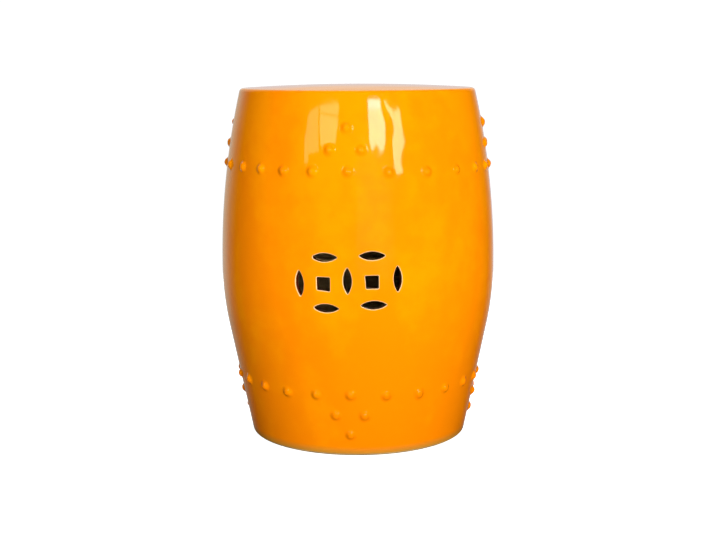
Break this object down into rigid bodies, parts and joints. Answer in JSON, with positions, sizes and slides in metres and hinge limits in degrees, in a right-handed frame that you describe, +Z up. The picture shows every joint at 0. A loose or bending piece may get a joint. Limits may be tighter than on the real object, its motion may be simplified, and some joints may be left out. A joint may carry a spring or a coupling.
{
  "type": "garden stool",
  "caption": "Barrel-shaped ceramic garden stool with a domed round seat, an open foot, rings of nail-head bosses and a pierced double coin on front and back.",
  "frame": {"origin": "centre of the resting face, at floor level", "axes": "+Z up through the seat, -Y out of the front with its pierced double coin, +X to the right of someone facing the front"},
  "size_m": [0.358, 0.358, 0.457],
  "materials": {
    "orange_glaze": "thick glossy orange-yellow glaze that breaks pale on sharp edges",
    "bare_clay": "unglazed pale tan stoneware, matt"
  },
  "bodies": {
    "root": {"seat_slab": "orange_glaze", "upper_barrel_wall": "orange_glaze", "lower_barrel_wall": "orange_glaze", "upper_nail_ring": "orange_glaze", "lower_nail_ring": "orange_glaze", "front_upper_nail_trio": "orange_glaze", "right_upper_nail_trio": "orange_glaze", "back_upper_nail_trio": "orange_glaze", "left_upper_nail_trio": "orange_glaze", "front_lower_nail_trio": "orange_glaze", "right_lower_nail_trio": "orange_glaze", "back_lower_nail_trio": "orange_glaze", "left_lower_nail_trio": "orange_glaze", "foot_ring": "bare_clay", "foot_joint_coil": "bare_clay", "belly_joint_coil": "bare_clay", "seat_joint_coil": "bare_clay"}
  },
  "joints": []
}
